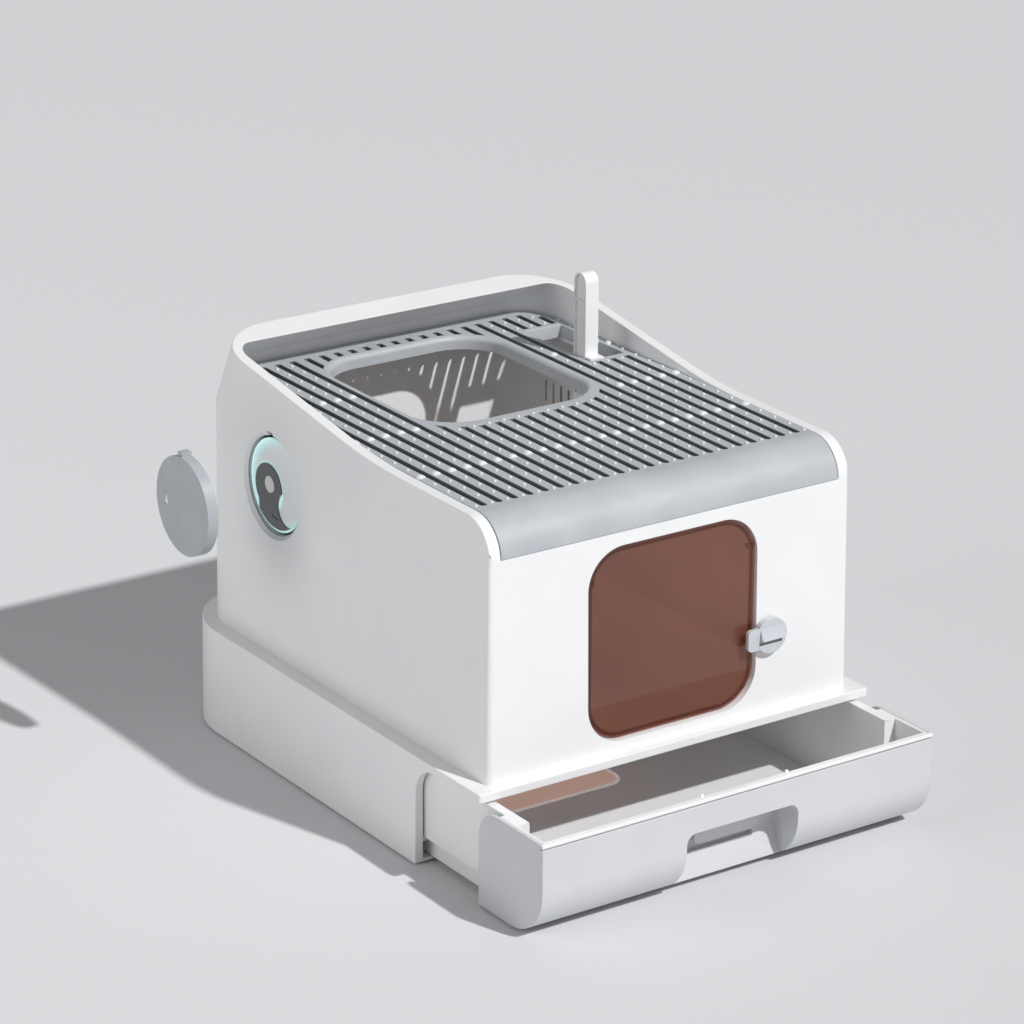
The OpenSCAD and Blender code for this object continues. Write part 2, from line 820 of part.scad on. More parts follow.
module drawer_front() color(white) translate([0, drawer_shift, 0]) difference() {
  union() {
    difference() {
      side_prism(front_hw) cheek_side(0);
      side_prism(front_hw - front_t) belly_side(front_t);
      translate([-300, drawer_y - 1, tray_top - rim_t - 1.2]) cube([600, front_t + 1.2, 20]);
      translate([-rim_hw, drawer_y - 1, tray_top - rim_t]) cube([2 * rim_hw, 200, 20]);
    }
    intersection() {
      side_prism(pull_w / 2 + 3) belly_side(0);
      pull_block(0);
    }
  }
  finger_pull();
  front_screw_spots() translate([0, 0, drawer_z - 1]) {
    cylinder(h = 2.6, d = 6.2);
    cylinder(h = 8, d = 3.4);
  }
}

module front_screw_spots() {
  for (x = [-140, 0, 140]) translate([x, drawer_y + belly_r + 22, 0]) children();
}

module front_screws() color("#9A9CA0") translate([0, drawer_shift, 0])
  front_screw_spots() translate([0, 0, drawer_z + 1.6]) screw(3, floor_z - drawer_z - 2);

// Plan with a square front and rounded back corners, as a solid
module plan_block(hw, y0, y1, r, z0, z1) {
  translate([0, 0, z0]) linear_extrude(z1 - z0) {
    translate([-hw, y0]) square([2 * hw, y1 - y0 - r]);
    translate([-hw + r, y0]) square([2 * hw - 2 * r, y1 - y0]);
    for (s = [-1, 1]) translate([s * (hw - r), y1 - r]) circle(r);
  }
}

module drawer_tray() color(white) translate([0, drawer_shift, 0]) {
  difference() {
    union() {
      plan_block(tub_hw, drawer_y + belly_r, drawer_back, tray_r - 6.5, drawer_z + tray_off, tray_top);
      plan_block(tray_hw, pocket_y, drawer_back + 6.5, tray_r, skirt_z, tray_top);
      intersection() {
        side_prism(front_hw - tray_off) belly_side(tray_off);
        translate([-300, drawer_y, 0]) cube([600, pocket_y + tray_t - drawer_y, tray_top]);
      }
      intersection() {
        side_prism(tub_hw) belly_side(tray_off);
        translate([-300, drawer_y, 0]) cube([600, 80, tray_top]);
      }
      translate([-front_hw, drawer_y, tray_top - rim_t]) cube([2 * front_hw, front_t, rim_t]);
      translate([0.1 - rim_hw, drawer_y + 1, tray_top - rim_t])
        cube([2 * rim_hw - 0.2, cheek_y - cheek_r - drawer_y - 1, rim_t]);
    }
    difference() {
      plan_block(tray_hw - tray_t, pocket_y + tray_t, drawer_back + 6.5 - tray_t, tray_r - tray_t,
        skirt_z - 1, tray_top - rim_t);
      plan_block(tub_hw, pocket_y - 1, drawer_back, tray_r - 6.5, skirt_z - 2, tray_top);
    }
    difference() {
      plan_block(tray_in, pocket_y - 1, drawer_back - tray_t, tray_r - 9, floor_z, tray_top + 5);
      pull_block(tray_t + 1);
    }
    difference() {
      intersection() {
        side_prism(front_hw - tray_off - tray_t) belly_side(tray_off + tray_t);
        translate([-300, drawer_y, 0]) cube([600, pocket_y - drawer_y, tray_top + 5]);
      }
      pull_block(tray_t + 1);
    }
    translate([tray_off + tray_t - front_hw, drawer_y + tray_off + tray_t, drawer_h - 12])
      cube([2 * (front_hw - tray_off - tray_t), pocket_y - drawer_y - tray_off - tray_t, 30]);
    pull_block(1);
    front_screw_spots() translate([0, 0, drawer_z]) cylinder(h = floor_z - drawer_z - 0.3, d = 3);
  }
  for (x = [-38, 48]) translate([x - 1.5, drawer_y + tray_off + tray_t - e, tray_top - 5])
    cube([3, 2, 6.8]);
}

module drawer_label() color("#E2C4B4") translate([-50, drawer_shift + drawer_y + 243, floor_z])
  linear_extrude(0.4) rounded_rect(label_w, label_d, 17);

// ---------- scoop ----------

module grip_side(i) {
  r = grip_d / 2 - i;
  cz = rim_z + grip_h - grip_d / 2;
  translate([grip_y + i, blade_top - 6]) square([2 * r, cz - blade_top + 6]);
  translate([grip_y + grip_d / 2, cz]) circle(r);
}

module scoop() color(white) {
  difference() {
    along_x(grip_x, grip_x + grip_t) grip_side(0);
    difference() {
      along_x(grip_x - 1, grip_x + 2) grip_side(1.8);
      for (i = [-1:2]) translate([grip_x - 2, grip_y, rim_z + 15 + i * 18]) cube([5, grip_d, 1.2]);
      translate([grip_x - 2, grip_y, blade_top - 10]) cube([5, grip_d, rim_z - 25 - blade_top]);
    }
  }
  translate([grip_x, hatch_y0 - 5, rim_z + 0.3]) cube([grip_t, 10, 2]);
  translate([grip_x + grip_t - e, grip_y + 6, rim_z + 9]) cube([5, 6, 5]);
  scoop_blade();
}

module scoop_blade() {
  y0 = grip_y - 1;
  difference() {
    translate([grip_x, y0, blade_z]) cube([blade_x, blade_w, blade_top - blade_z]);
    translate([grip_x + 2.5, y0 + 2.5, blade_z - 1]) cube([blade_x, blade_w - 5, blade_top - blade_z - 2]);
    for (i = [0:6]) translate([grip_x - 1, y0 + 10 + i * (blade_w - 20) / 6 - 2.5, blade_z + 18])
      cube([5, 5, 80]);
    along_y(y0 - 1, y0 + blade_w + 1)
      polygon([[grip_x + 6, blade_z - 1], [grip_x + blade_x + 1, blade_z + 50], [grip_x + blade_x + 1, blade_z - 1]]);
  }
}

base_shell();
base_feet();
drawer_rails();
hood_shell();
hood_screws();
deodoriser_bay();
deodoriser_body();
deodoriser_lens();
deodoriser_face();
deodoriser_button();
button_spring();
circuit_board();
battery();
side_cover();
vent_panel();
vent_pad();
lid_panel();
lid_pins();
door_flap();
flap_pins();
latch_knob();
latch_spindle();
drawer_tray();
drawer_front();
front_screws();
drawer_label();
scoop();
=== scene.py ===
import math
import bpy
import bmesh
from mathutils import Matrix, Vector
from mathutils.geometry import intersect_point_line


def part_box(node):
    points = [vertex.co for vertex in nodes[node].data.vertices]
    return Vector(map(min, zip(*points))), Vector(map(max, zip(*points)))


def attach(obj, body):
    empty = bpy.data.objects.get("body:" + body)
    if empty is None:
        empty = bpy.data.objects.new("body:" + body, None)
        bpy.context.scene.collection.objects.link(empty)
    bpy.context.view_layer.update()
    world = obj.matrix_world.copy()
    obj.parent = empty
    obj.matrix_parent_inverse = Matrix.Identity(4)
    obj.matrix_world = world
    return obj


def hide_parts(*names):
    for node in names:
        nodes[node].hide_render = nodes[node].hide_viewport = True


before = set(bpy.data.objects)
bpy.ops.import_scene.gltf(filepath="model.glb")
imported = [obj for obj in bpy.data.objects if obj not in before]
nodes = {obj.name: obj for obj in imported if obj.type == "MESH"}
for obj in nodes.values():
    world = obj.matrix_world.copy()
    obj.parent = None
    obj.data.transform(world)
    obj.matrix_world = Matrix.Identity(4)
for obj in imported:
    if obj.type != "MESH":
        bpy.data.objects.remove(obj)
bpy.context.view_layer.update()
print("frame loaded:", len(nodes), "nodes")

mm = 0.001  # the frame is in metres

cameraPlan = {
    "place": (-1.80326, -2.64744, 1.42121),
    "azimuth": -34.300,  # degrees, as the two below
    "elevation": 20.539,
    "roll": 0.220,
    "lens": 139.5,
    "sensor": 36,
}


def makeCamera(plan):
    azimuth, elevation, roll = (math.radians(plan[key]) for key in ("azimuth", "elevation", "roll"))
    back = Vector((math.sin(azimuth) * math.cos(elevation), -math.cos(azimuth) * math.cos(elevation),
                   math.sin(elevation)))
    level = Vector((math.cos(azimuth), math.sin(azimuth), 0))
    rise = back.cross(level)
    right = level * math.cos(roll) + rise * math.sin(roll)
    up = rise * math.cos(roll) - level * math.sin(roll)
    data = bpy.data.cameras.new("camera")
    data.lens = plan["lens"]
    data.sensor_width = plan["sensor"]
    camera = bpy.data.objects.new("camera", data)
    turn = Matrix((right, up, back)).transposed().to_4x4()
    camera.matrix_world = Matrix.Translation(plan["place"]) @ turn
    bpy.context.scene.collection.objects.link(camera)
    bpy.context.scene.camera = camera


lightPlan = {
    "aim": (0, 0, 0.15),
    "lamps": {  # soft is the sun's angle, or the size of an area lamp
        "key": {"kind": "SUN", "from": (0.34, -1.1, 1.32), "soft": math.radians(1.6), "power": 2.8},
        "side": {"kind": "AREA", "from": (-3.0, 0.3, 1.5), "soft": 2.0, "power": 21},
    },
}


def makeLights(plan):
    for name, spot in plan["lamps"].items():
        data = bpy.data.lights.new(name, spot["kind"])
        setattr(data, "angle" if spot["kind"] == "SUN" else "size", spot["soft"])
        data.energy = spot["power"]
        lamp = bpy.data.objects.new(name, data)
        place = Vector(spot["from"])
        aim = (Vector(plan["aim"]) - place).to_track_quat("-Z", "Y")
        lamp.matrix_world = Matrix.Translation(place) @ aim.to_matrix().to_4x4()
        bpy.context.scene.collection.objects.link(lamp)


# An sRGB hex code as a linear colour
def toLinear(code):
    parts = [int(code[i:i + 2], 16) / 255 for i in (1, 3, 5)]
    return [p / 12.92 if p <= 0.04045 else ((p + 0.055) / 1.055) ** 2.4 for p in parts] + [1.0]


# A node with its settings, which are inputs or properties, and the outputs that are linked to its inputs
def addNode(tree, kind, settings=None, links=None):
    node = tree.nodes.new(kind)
    for key, value in (settings or {}).items():
        if isinstance(key, int) or key in node.inputs:
            node.inputs[key].default_value = value
        else:
            setattr(node, key, value)
    for key, source in (links or {}).items():
        tree.links.new(source, node.inputs[key])
    return node


def newMaterial(name):
    material = bpy.data.materials.new(name)
    material.use_nodes = True
    material.node_tree.nodes.clear()
    return material, material.node_tree


# Gives a colour ramp its stops, from left to right: pairs of position and hex code
def setRamp(node, *stops):
    elements = node.color_ramp.elements
    while len(elements) < len(stops):
        elements.new(0.5)
    for element, (position, code) in zip(elements, stops):
        element.position = position
        element.color = toLinear(code)


# Scale of a noise texture with grains of a size in millimetres
def grain(size):
    return 1 / (size * mm)


noiseLow, noiseHigh = 0.3, 0.7  # most of what a noise texture gives lies between these

plasticRules = {"handled": 0.05, "depth": 0.4 * mm, "ior": 1.53}


# Moulded plastic: an even tone with a faint cloud in it, slight changes in gloss where it has been
# handled, and the fine orange peel that the mould leaves
def mouldedPlastic(name, plan):
    material, tree = newMaterial(name)
    where = addNode(tree, "ShaderNodeTexCoord").outputs["Object"]
    cloud = addNode(tree, "ShaderNodeTexNoise",
                    {"Scale": grain(plan["cloudMm"]), "Detail": 3.0}, {"Vector": where})
    tone = addNode(tree, "ShaderNodeValToRGB", links={"Fac": cloud.outputs["Fac"]})
    setRamp(tone, (noiseLow, plan["dark"]), (noiseHigh, plan["light"]))
    smear = addNode(tree, "ShaderNodeTexNoise",
                    {"Scale": grain(plan["smearMm"]), "Detail": 4.0}, {"Vector": where})
    gloss = addNode(tree, "ShaderNodeMapRange",
                    {"From Min": noiseLow, "From Max": noiseHigh,
                     "To Min": plan["rough"] - plasticRules["handled"],
                     "To Max": plan["rough"] + plasticRules["handled"]},
                    {"Value": smear.outputs["Fac"]})
    peel = addNode(tree, "ShaderNodeTexNoise",
                   {"Scale": grain(plan["peelMm"]), "Detail": 2.0}, {"Vector": where})
    bump = addNode(tree, "ShaderNodeBump",
                   {"Strength": plan["peel"], "Distance": plasticRules["depth"]},
                   {"Height": peel.outputs["Fac"]})
    shader = addNode(tree, "ShaderNodeBsdfPrincipled",
                     {"IOR": plan.get("ior", plasticRules["ior"]), "Coat Weight": plan.get("coat", 0.0)},
                     {"Base Color": tone.outputs["Color"], "Roughness": gloss.outputs["Result"],
                      "Normal": bump.outputs["Normal"]})
    addNode(tree, "ShaderNodeOutputMaterial", links={"Surface": shader.outputs["BSDF"]})
    return material


plasticPlan = {
    # white ABS: hood, base and drawer, moulded and lightly polished
    "whiteAbs": {"dark": "#EFEFF0", "light": "#F2F2F2", "rough": 0.36, "cloudMm": 60, "smearMm": 22,
                 "peelMm": 1.6, "peel": 0.05},
    # grey ABS of the grille with a spark-eroded satin face
    "satinAbs": {"dark": "#B2B6BB", "light": "#BCC0C4", "rough": 0.46, "cloudMm": 45, "smearMm": 18,
                 "peelMm": 1.1, "peel": 0.10},
    # the same ABS on the studs, smoother, and paler as a painted highlight where their tops catch the
    # light
    "studHighlightAbs": {"dark": "#E2E4E7", "light": "#E9EBED", "rough": 0.3, "cloudMm": 45, "smearMm": 18,
                "peelMm": 1.1, "peel": 0.04},
    # the same ABS inside the slots, painted darker as shade, where little light gets in
    "slotShadeAbs": {"dark": "#62666B", "light": "#6C7075", "rough": 0.6, "cloudMm": 45, "smearMm": 18,
                "peelMm": 1.1, "peel": 0.10},
    # the drawer's front in a slightly greyer white, which paints the shade it lies in;
    # the drawer's front comes from another tool in a slightly greyer white
    "frontShadeAbs": {"dark": "#CFD0D2", "light": "#D3D4D6", "rough": 0.34, "cloudMm": 60, "smearMm": 22,
                 "peelMm": 1.6, "peel": 0.05},
    # smooth light grey ABS of the latch
    "latchAbs": {"dark": "#C6C9CE", "light": "#CED1D6", "rough": 0.33, "cloudMm": 30, "smearMm": 10,
                 "peelMm": 1.2, "peel": 0.05},
    # the round cover, a shade darker
    "coverAbs": {"dark": "#A9ACB1", "light": "#B2B5BA", "rough": 0.33, "cloudMm": 30, "smearMm": 10,
                 "peelMm": 1.2, "peel": 0.05},
    # dark grey polished ABS of the deodoriser's face
    "slateAbs": {"dark": "#303135", "light": "#37383C", "rough": 0.22, "cloudMm": 18, "smearMm": 9,
                 "peelMm": 1.0, "peel": 0.03, "coat": 0.3},
    # grey ABS housing, matt
    "housingAbs": {"dark": "#5A5C60", "light": "#66686C", "rough": 0.5, "cloudMm": 20, "smearMm": 8,
                   "peelMm": 1.0, "peel": 0.12},
    # white acetal of the rails, the filter holder and the button
    "acetal": {"dark": "#E2E1DD", "light": "#EAE9E5", "rough": 0.4, "cloudMm": 30, "smearMm": 12,
               "peelMm": 1.2, "peel": 0.06, "ior": 1.48},
    # black rubber of the feet: dull, with a coarse skin
    "padRubber": {"dark": "#242425", "light": "#2E2E2F", "rough": 0.75, "cloudMm": 8, "smearMm": 5,
                  "peelMm": 0.7, "peel": 0.35},
    # solder mask on laminate
    "boardLaminate": {"dark": "#27553C", "light": "#2F6145", "rough": 0.35, "cloudMm": 9, "smearMm": 5,
                      "peelMm": 0.9, "peel": 0.15},
    # heat-shrink sleeve of the battery
    "sleeveFilm": {"dark": "#868A90", "light": "#92969C", "rough": 0.3, "cloudMm": 14, "smearMm": 6,
                   "peelMm": 1.0, "peel": 0.1},
    # carbon felt: black, matt, with coarse fibre
    "carbonFelt": {"dark": "#2C2A28", "light": "#46423E", "rough": 0.92, "cloudMm": 2, "smearMm": 2,
                   "peelMm": 0.8, "peel": 0.9},
}

steelPlan = {"dark": "#8E9094", "light": "#B2B4B8", "smooth": 0.25, "rough": 0.42,
             "lineMm": (8.333, 0.25, 0.25)}  # length and width of the drawing lines, coarser than real


# Cold-drawn steel: fine lines along x, the way the lid's and the flap's pins lie
def drawnSteel(plan):
    material, tree = newMaterial("drawnSteel")
    where = addNode(tree, "ShaderNodeTexCoord").outputs["Object"]
    place = addNode(tree, "ShaderNodeMapping", {"Scale": [grain(size) for size in plan["lineMm"]]},
                    {"Vector": where})
    line = addNode(tree, "ShaderNodeTexNoise", {"Scale": 1.0, "Detail": 2.0},
                   {"Vector": place.outputs["Vector"]})
    tone = addNode(tree, "ShaderNodeValToRGB", links={"Fac": line.outputs["Fac"]})
    setRamp(tone, (noiseLow, plan["dark"]), (noiseHigh, plan["light"]))
    gloss = addNode(tree, "ShaderNodeMapRange", {"To Min": plan["smooth"], "To Max": plan["rough"]},
                    {"Value": line.outputs["Fac"]})
    shader = addNode(tree, "ShaderNodeBsdfPrincipled", {"Metallic": 1.0},
                     {"Base Color": tone.outputs["Color"], "Roughness": gloss.outputs["Result"]})
    addNode(tree, "ShaderNodeOutputMaterial", links={"Surface": shader.outputs["BSDF"]})
    return material


def centreOf(nodeName):
    low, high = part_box(nodeName)
    return [(a + b) / 2 for a, b in zip(low, high)]


# How far a point lies past the straight core of a thin node with rounded corners, seen square to its
# face: along its outline that is the radius of the corners
def roundedReach(tree, where, nodeName, thinAxis, corner):
    core = [(high - low) / 2 - corner for low, high in zip(*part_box(nodeName))]
    core[thinAxis] = 1.0  # further out than any point, so that this axis adds nothing
    centred = addNode(tree, "ShaderNodeMapping", {"Location": [-c for c in centreOf(nodeName)]},
                      {"Vector": where})
    flat = addNode(tree, "ShaderNodeVectorMath", {"operation": "ABSOLUTE"},
                   {0: centred.outputs["Vector"]})
    past = addNode(tree, "ShaderNodeVectorMath", {"operation": "SUBTRACT", 1: core},
                   {0: flat.outputs["Vector"]})
    clip = addNode(tree, "ShaderNodeVectorMath", {"operation": "MAXIMUM", 1: (0, 0, 0)},
                   {0: past.outputs["Vector"]})
    reach = addNode(tree, "ShaderNodeVectorMath", {"operation": "LENGTH"}, {0: clip.outputs["Vector"]})
    return reach.outputs["Value"]


flapPlan = {
    "round": 33.5 * mm, "dark": "#C1816A", "light": "#C7876F", "edge": "#8C4B38",
    "ramp": (0.25, 0.75), "cloudMm": 71.43, "scuffMm": 6.25, "smooth": 0.05, "rough": 0.12,
    # the painted dark line, as distances from the rim
    "starts": 4.6 * mm, "full": 3.8 * mm, "fades": 1.6 * mm, "ends": 0.9 * mm,
}


# Tinted cast acrylic: clear and smooth; a dark line is painted round it just inside its rim, a painted
# reflection of the sheet's cut edge, where the eye looks into it
def tintedAcrylic(plan):
    material, tree = newMaterial("tintedAcrylic")
    where = addNode(tree, "ShaderNodeTexCoord").outputs["Object"]
    cloud = addNode(tree, "ShaderNodeTexNoise", {"Scale": grain(plan["cloudMm"]), "Detail": 2.0},
                    {"Vector": where})
    body = addNode(tree, "ShaderNodeValToRGB", links={"Fac": cloud.outputs["Fac"]})
    setRamp(body, (plan["ramp"][0], plan["dark"]), (plan["ramp"][1], plan["light"]))
    near = addNode(tree, "ShaderNodeMapRange",
                   {"From Min": plan["round"] - plan["starts"], "From Max": plan["round"]},
                   {"Value": roundedReach(tree, where, "door_flap", 1, plan["round"])})
    line = addNode(tree, "ShaderNodeValToRGB", links={"Fac": near.outputs["Result"]})
    clear, filled = "#000000", "#FFFFFF"
    setRamp(line, (0.0, clear), (1 - plan["full"] / plan["starts"], filled),
            (1 - plan["fades"] / plan["starts"], filled), (1 - plan["ends"] / plan["starts"], clear))
    # sockets 6 and 7 of Mix are its two colours, and output 2 is the mixed one
    tone = addNode(tree, "ShaderNodeMix", {"data_type": "RGBA", 7: toLinear(plan["edge"])},
                   {0: line.outputs["Color"], 6: body.outputs["Color"]})
    scuff = addNode(tree, "ShaderNodeTexNoise", {"Scale": grain(plan["scuffMm"]), "Detail": 3.0},
                    {"Vector": where})
    gloss = addNode(tree, "ShaderNodeMapRange", {"To Min": plan["smooth"], "To Max": plan["rough"]},
                    {"Value": scuff.outputs["Fac"]})
    shader = addNode(tree, "ShaderNodeBsdfPrincipled", {"IOR": 1.49, "Transmission Weight": 0.85},
                     {"Base Color": tone.outputs[2], "Roughness": gloss.outputs["Result"]})
    addNode(tree, "ShaderNodeOutputMaterial", links={"Surface": shader.outputs["BSDF"]})
    return material


guidePlan = {
    "radius": 41.6 * mm, "rimStarts": 0.74, "rimFull": 0.98,  # shares of the radius
    "sideFade": 12 * mm, "footStarts": -20 * mm, "footFull": -36 * mm,
    "plate": (0, 12 * mm, -5 * mm), "plateRadius": 21.5 * mm, "line": 2.6 * mm,
    "dull": "#C0C3C4", "lit": "#B9DEDC", "bright": "#D2FBF8", "litAt": 0.55, "glow": 0.35,
    "grainMm": 1.1111, "grain": 0.08, "depth": 0.3 * mm, "soak": 4 * mm,
}


# Frosted polycarbonate light guide: milky white, lit cyan along the rear half of its rim, in a thin line
# around the face plate and at its lower end
def frostedGuide(plan):
    material, tree = newMaterial("frostedGuide")
    where = addNode(tree, "ShaderNodeTexCoord").outputs["Object"]
    centre = centreOf("deodoriser_lens")
    centred = addNode(tree, "ShaderNodeMapping", {"Location": (0, -centre[1], -centre[2])},
                      {"Vector": where})
    split = addNode(tree, "ShaderNodeSeparateXYZ", links={"Vector": centred.outputs["Vector"]})
    flat = addNode(tree, "ShaderNodeCombineXYZ",
                   links={"Y": split.outputs["Y"], "Z": split.outputs["Z"]})
    reach = addNode(tree, "ShaderNodeVectorMath", {"operation": "LENGTH"}, {0: flat.outputs["Vector"]})
    rim = addNode(tree, "ShaderNodeMapRange",
                  {"From Min": plan["radius"] * plan["rimStarts"],
                   "From Max": plan["radius"] * plan["rimFull"]},
                  {"Value": reach.outputs["Value"]})
    side = addNode(tree, "ShaderNodeMapRange",
                   {"From Min": -plan["sideFade"], "From Max": plan["sideFade"]},
                   {"Value": split.outputs["Y"]})
    rear = addNode(tree, "ShaderNodeMath", {"operation": "MULTIPLY"},
                   {0: rim.outputs["Result"], 1: side.outputs["Result"]})
    low = addNode(tree, "ShaderNodeMapRange",
                  {"From Min": plan["footStarts"], "From Max": plan["footFull"]},
                  {"Value": split.outputs["Z"]})
    foot = addNode(tree, "ShaderNodeMath", {"operation": "MULTIPLY"},
                   {0: rim.outputs["Result"], 1: low.outputs["Result"]})
    fromPlate = addNode(tree, "ShaderNodeVectorMath", {"operation": "DISTANCE", 1: plan["plate"]},
                        {0: flat.outputs["Vector"]})
    line = addNode(tree, "ShaderNodeMapRange",
                   {"From Min": plan["plateRadius"] + plan["line"], "From Max": plan["plateRadius"]},
                   {"Value": fromPlate.outputs["Value"]})
    ends = addNode(tree, "ShaderNodeMath", {"operation": "MAXIMUM"},
                   {0: rear.outputs["Value"], 1: foot.outputs["Value"]})
    glow = addNode(tree, "ShaderNodeMath", {"operation": "MAXIMUM"},
                   {0: ends.outputs["Value"], 1: line.outputs["Result"]})
    tone = addNode(tree, "ShaderNodeValToRGB", links={"Fac": glow.outputs["Value"]})
    setRamp(tone, (0.0, plan["dull"]), (plan["litAt"], plan["lit"]), (1.0, plan["bright"]))
    frost = addNode(tree, "ShaderNodeTexNoise", {"Scale": grain(plan["grainMm"]), "Detail": 2.0},
                    {"Vector": where})
    bump = addNode(tree, "ShaderNodeBump", {"Strength": plan["grain"], "Distance": plan["depth"]},
                   {"Height": frost.outputs["Fac"]})
    shader = addNode(tree, "ShaderNodeBsdfPrincipled",
                     {"IOR": 1.58, "Roughness": 0.35, "Subsurface Weight": 0.2,
                      "Subsurface Radius": [plan["soak"]] * 3, "Emission Strength": plan["glow"]},
                     {"Base Color": tone.outputs["Color"], "Emission Color": tone.outputs["Color"],
                      "Normal": bump.outputs["Normal"]})
    addNode(tree, "ShaderNodeOutputMaterial", links={"Surface": shader.outputs["BSDF"]})
    return material


# lift is the strength of a faint emission: painted light on the label
labelPlan = {
    "round": 17 * mm, "border": 3.5 * mm, "blur": 0.4 * mm, "dark": "#ECC8B7", "light": "#F1D0C0",
    "edge": "#F3F1EF", "fibreMm": 1.4286, "fibre": 0.1, "depth": 0.2 * mm, "lift": 0.2,
}


# Coated paper label, bare: peach field inside a white border; a faint emission paints light on it, so
# that it stays bright in the shade of the tray
def labelPaper(plan):
    material, tree = newMaterial("labelPaper")
    where = addNode(tree, "ShaderNodeTexCoord").outputs["Object"]
    border = plan["round"] - plan["border"]
    field = addNode(tree, "ShaderNodeMapRange", {"From Min": border - plan["blur"], "From Max": border},
                    {"Value": roundedReach(tree, where, "drawer_label", 2, plan["round"])})
    fibre = addNode(tree, "ShaderNodeTexNoise", {"Scale": grain(plan["fibreMm"]), "Detail": 4.0},
                    {"Vector": where})
    paper = addNode(tree, "ShaderNodeValToRGB", links={"Fac": fibre.outputs["Fac"]})
    setRamp(paper, (noiseLow, plan["dark"]), (noiseHigh, plan["light"]))
    tone = addNode(tree, "ShaderNodeMix", {"data_type": "RGBA", 7: toLinear(plan["edge"])},
                   {0: field.outputs["Result"], 6: paper.outputs["Color"]})
    bump = addNode(tree, "ShaderNodeBump", {"Strength": plan["fibre"], "Distance": plan["depth"]},
                   {"Height": fibre.outputs["Fac"]})
    # the emission is painted light that lifts the label in the tray's shade
    shader = addNode(tree, "ShaderNodeBsdfPrincipled",
                     {"Roughness": 0.55, "Emission Strength": plan["lift"]},
                     {"Base Color": tone.outputs[2], "Emission Color": tone.outputs[2],
                      "Normal": bump.outputs["Normal"]})
    addNode(tree, "ShaderNodeOutputMaterial", links={"Surface": shader.outputs["BSDF"]})
    return material


materials = {name: mouldedPlastic(name, plan) for name, plan in plasticPlan.items()}
materials["drawnSteel"] = drawnSteel(steelPlan)
materials["tintedAcrylic"] = tintedAcrylic(flapPlan)
materials["frostedGuide"] = frostedGuide(guidePlan)
materials["labelPaper"] = labelPaper(labelPlan)
print("materials:", len(materials))

# The hood's rim seen from the side, in millimetres: nose, flat, bend and slope. Near, nearFlat and
# overlap are how far a corner may lie off them. Its rounding starts above lowest, with share of the
# full width, and fades out with the edge's angle in degrees
hoodPlan = {
    "rim": 321, "noseY": -204.56, "noseZ": 288, "noseR": 33, "bendY": -103.6, "bendR": 575,
    "slope": math.radians(8.5), "near": 0.12, "nearFlat": 0.06, "overlap": 0.05,
    "lowest": 290.5, "share": 0.4, "fadeFrom": 14, "fadeOver": 50,
}


# Whether a point lies on the rim's upper surface, from the rounded nose to the rising back
def onRim(plan, point):
    y, z = point.y / mm, point.z / mm
    if y < plan["noseY"] + plan["overlap"] and z > plan["noseZ"]:
        fromNose = math.hypot(y - plan["noseY"], z - plan["noseZ"])
        return abs(fromNose - plan["noseR"]) < plan["near"]
    if y < plan["bendY"]:
        return abs(z - plan["rim"]) < plan["nearFlat"]
    bendZ = plan["rim"] + plan["bendR"]
    bendEnd = plan["bendY"] + plan["bendR"] * math.sin(plan["slope"])
    if y < bendEnd:
        return abs(math.hypot(y - plan["bendY"], z - bendZ) - plan["bendR"]) < plan["near"]
    rise = bendZ - plan["bendR"] * math.cos(plan["slope"]) + (y - bendEnd) * math.tan(plan["slope"])
    return abs(z - rise) < plan["near"]


# This and the next three functions give an edge's share of its piece's rounding. On the hood only the
# rim is rounded, less and less where an edge runs into a smooth surface
def hoodEdges(a, b, angle):
    plan = hoodPlan
    if onRim(plan, a) and onRim(plan, b) and max(a.z, b.z) > plan["lowest"] * mm:
        fade = (math.degrees(angle) - plan["fadeFrom"]) / plan["fadeOver"]
        return plan["share"] * min(1.0, max(0.0, fade))
    return 0.0


drawerPlan = {"above": 12 * mm}


# Rounds only what is clear of the screw holes under the drawer
def drawerEdges(a, b, angle):
    return 1.0 if min(a.z, b.z) > drawerPlan["above"] else 0.0


basePlan = {"half": 184 * mm, "front": -241 * mm, "back": 232 * mm, "above": 80 * mm}


# Leaves out what lies under the hood
def baseEdges(a, b, angle):
    plan = basePlan
    under = all(abs(p.x) < plan["half"] and plan["front"] < p.y < plan["back"] and p.z > plan["above"]
                for p in (a, b))
    return 0.0 if under else 1.0


scoopPlan = {"thinEnd": 124.1 * mm, "share": 0.3}


# The grooves in the grip and the slotted wall of the blade are thin, so their edges get less
def scoopEdges(a, b, angle):
    return scoopPlan["share"] if max(a.x, b.x) < scoopPlan["thinEnd"] else 1.0


# How much of the width beside it a rounding may take: alone where it has that to itself, shared where
# it is rounded from both sides, and inBend of the radius of a bend
roomPlan = {"alone": 0.85, "shared": 0.42, "inBend": 0.8, "leastSlope": 0.2,
            "corner": math.radians(25), "straight": math.radians(2)}


# Room at the ends of an edge: the rounding slides along the next edges of both faces, and inside a
# tight bend it must stay under the bend's radius
def roomAtEnds(edge, chosen):
    plan, room = roomPlan, 1.0  # a metre stands for no limit
    for loop in edge.link_loops:
        for other in (loop.link_loop_prev, loop.link_loop_next):
            here = loop.vert if other is loop.link_loop_prev else loop.link_loop_next.vert
            along = edge.other_vert(here).co - here.co
            far = other.edge.other_vert(here)
            away = far.co - here.co
            turn = math.pi - along.angle(away, math.pi)
            if turn > plan["corner"]:
                both = any(e in chosen and e is not other.edge for e in far.link_edges)
                slope = max(plan["leastSlope"], math.sin(turn))
                room = min(room, away.length * slope * (plan["shared"] if both else plan["alone"]))
            elif other.edge in chosen and turn > plan["straight"]:
                inside = along.cross(away).dot(loop.face.normal) * (1 if here is loop.vert else -1) > 0
                if inside:
                    room = min(room, plan["inBend"] * min(along.length, away.length) / turn)
    return room


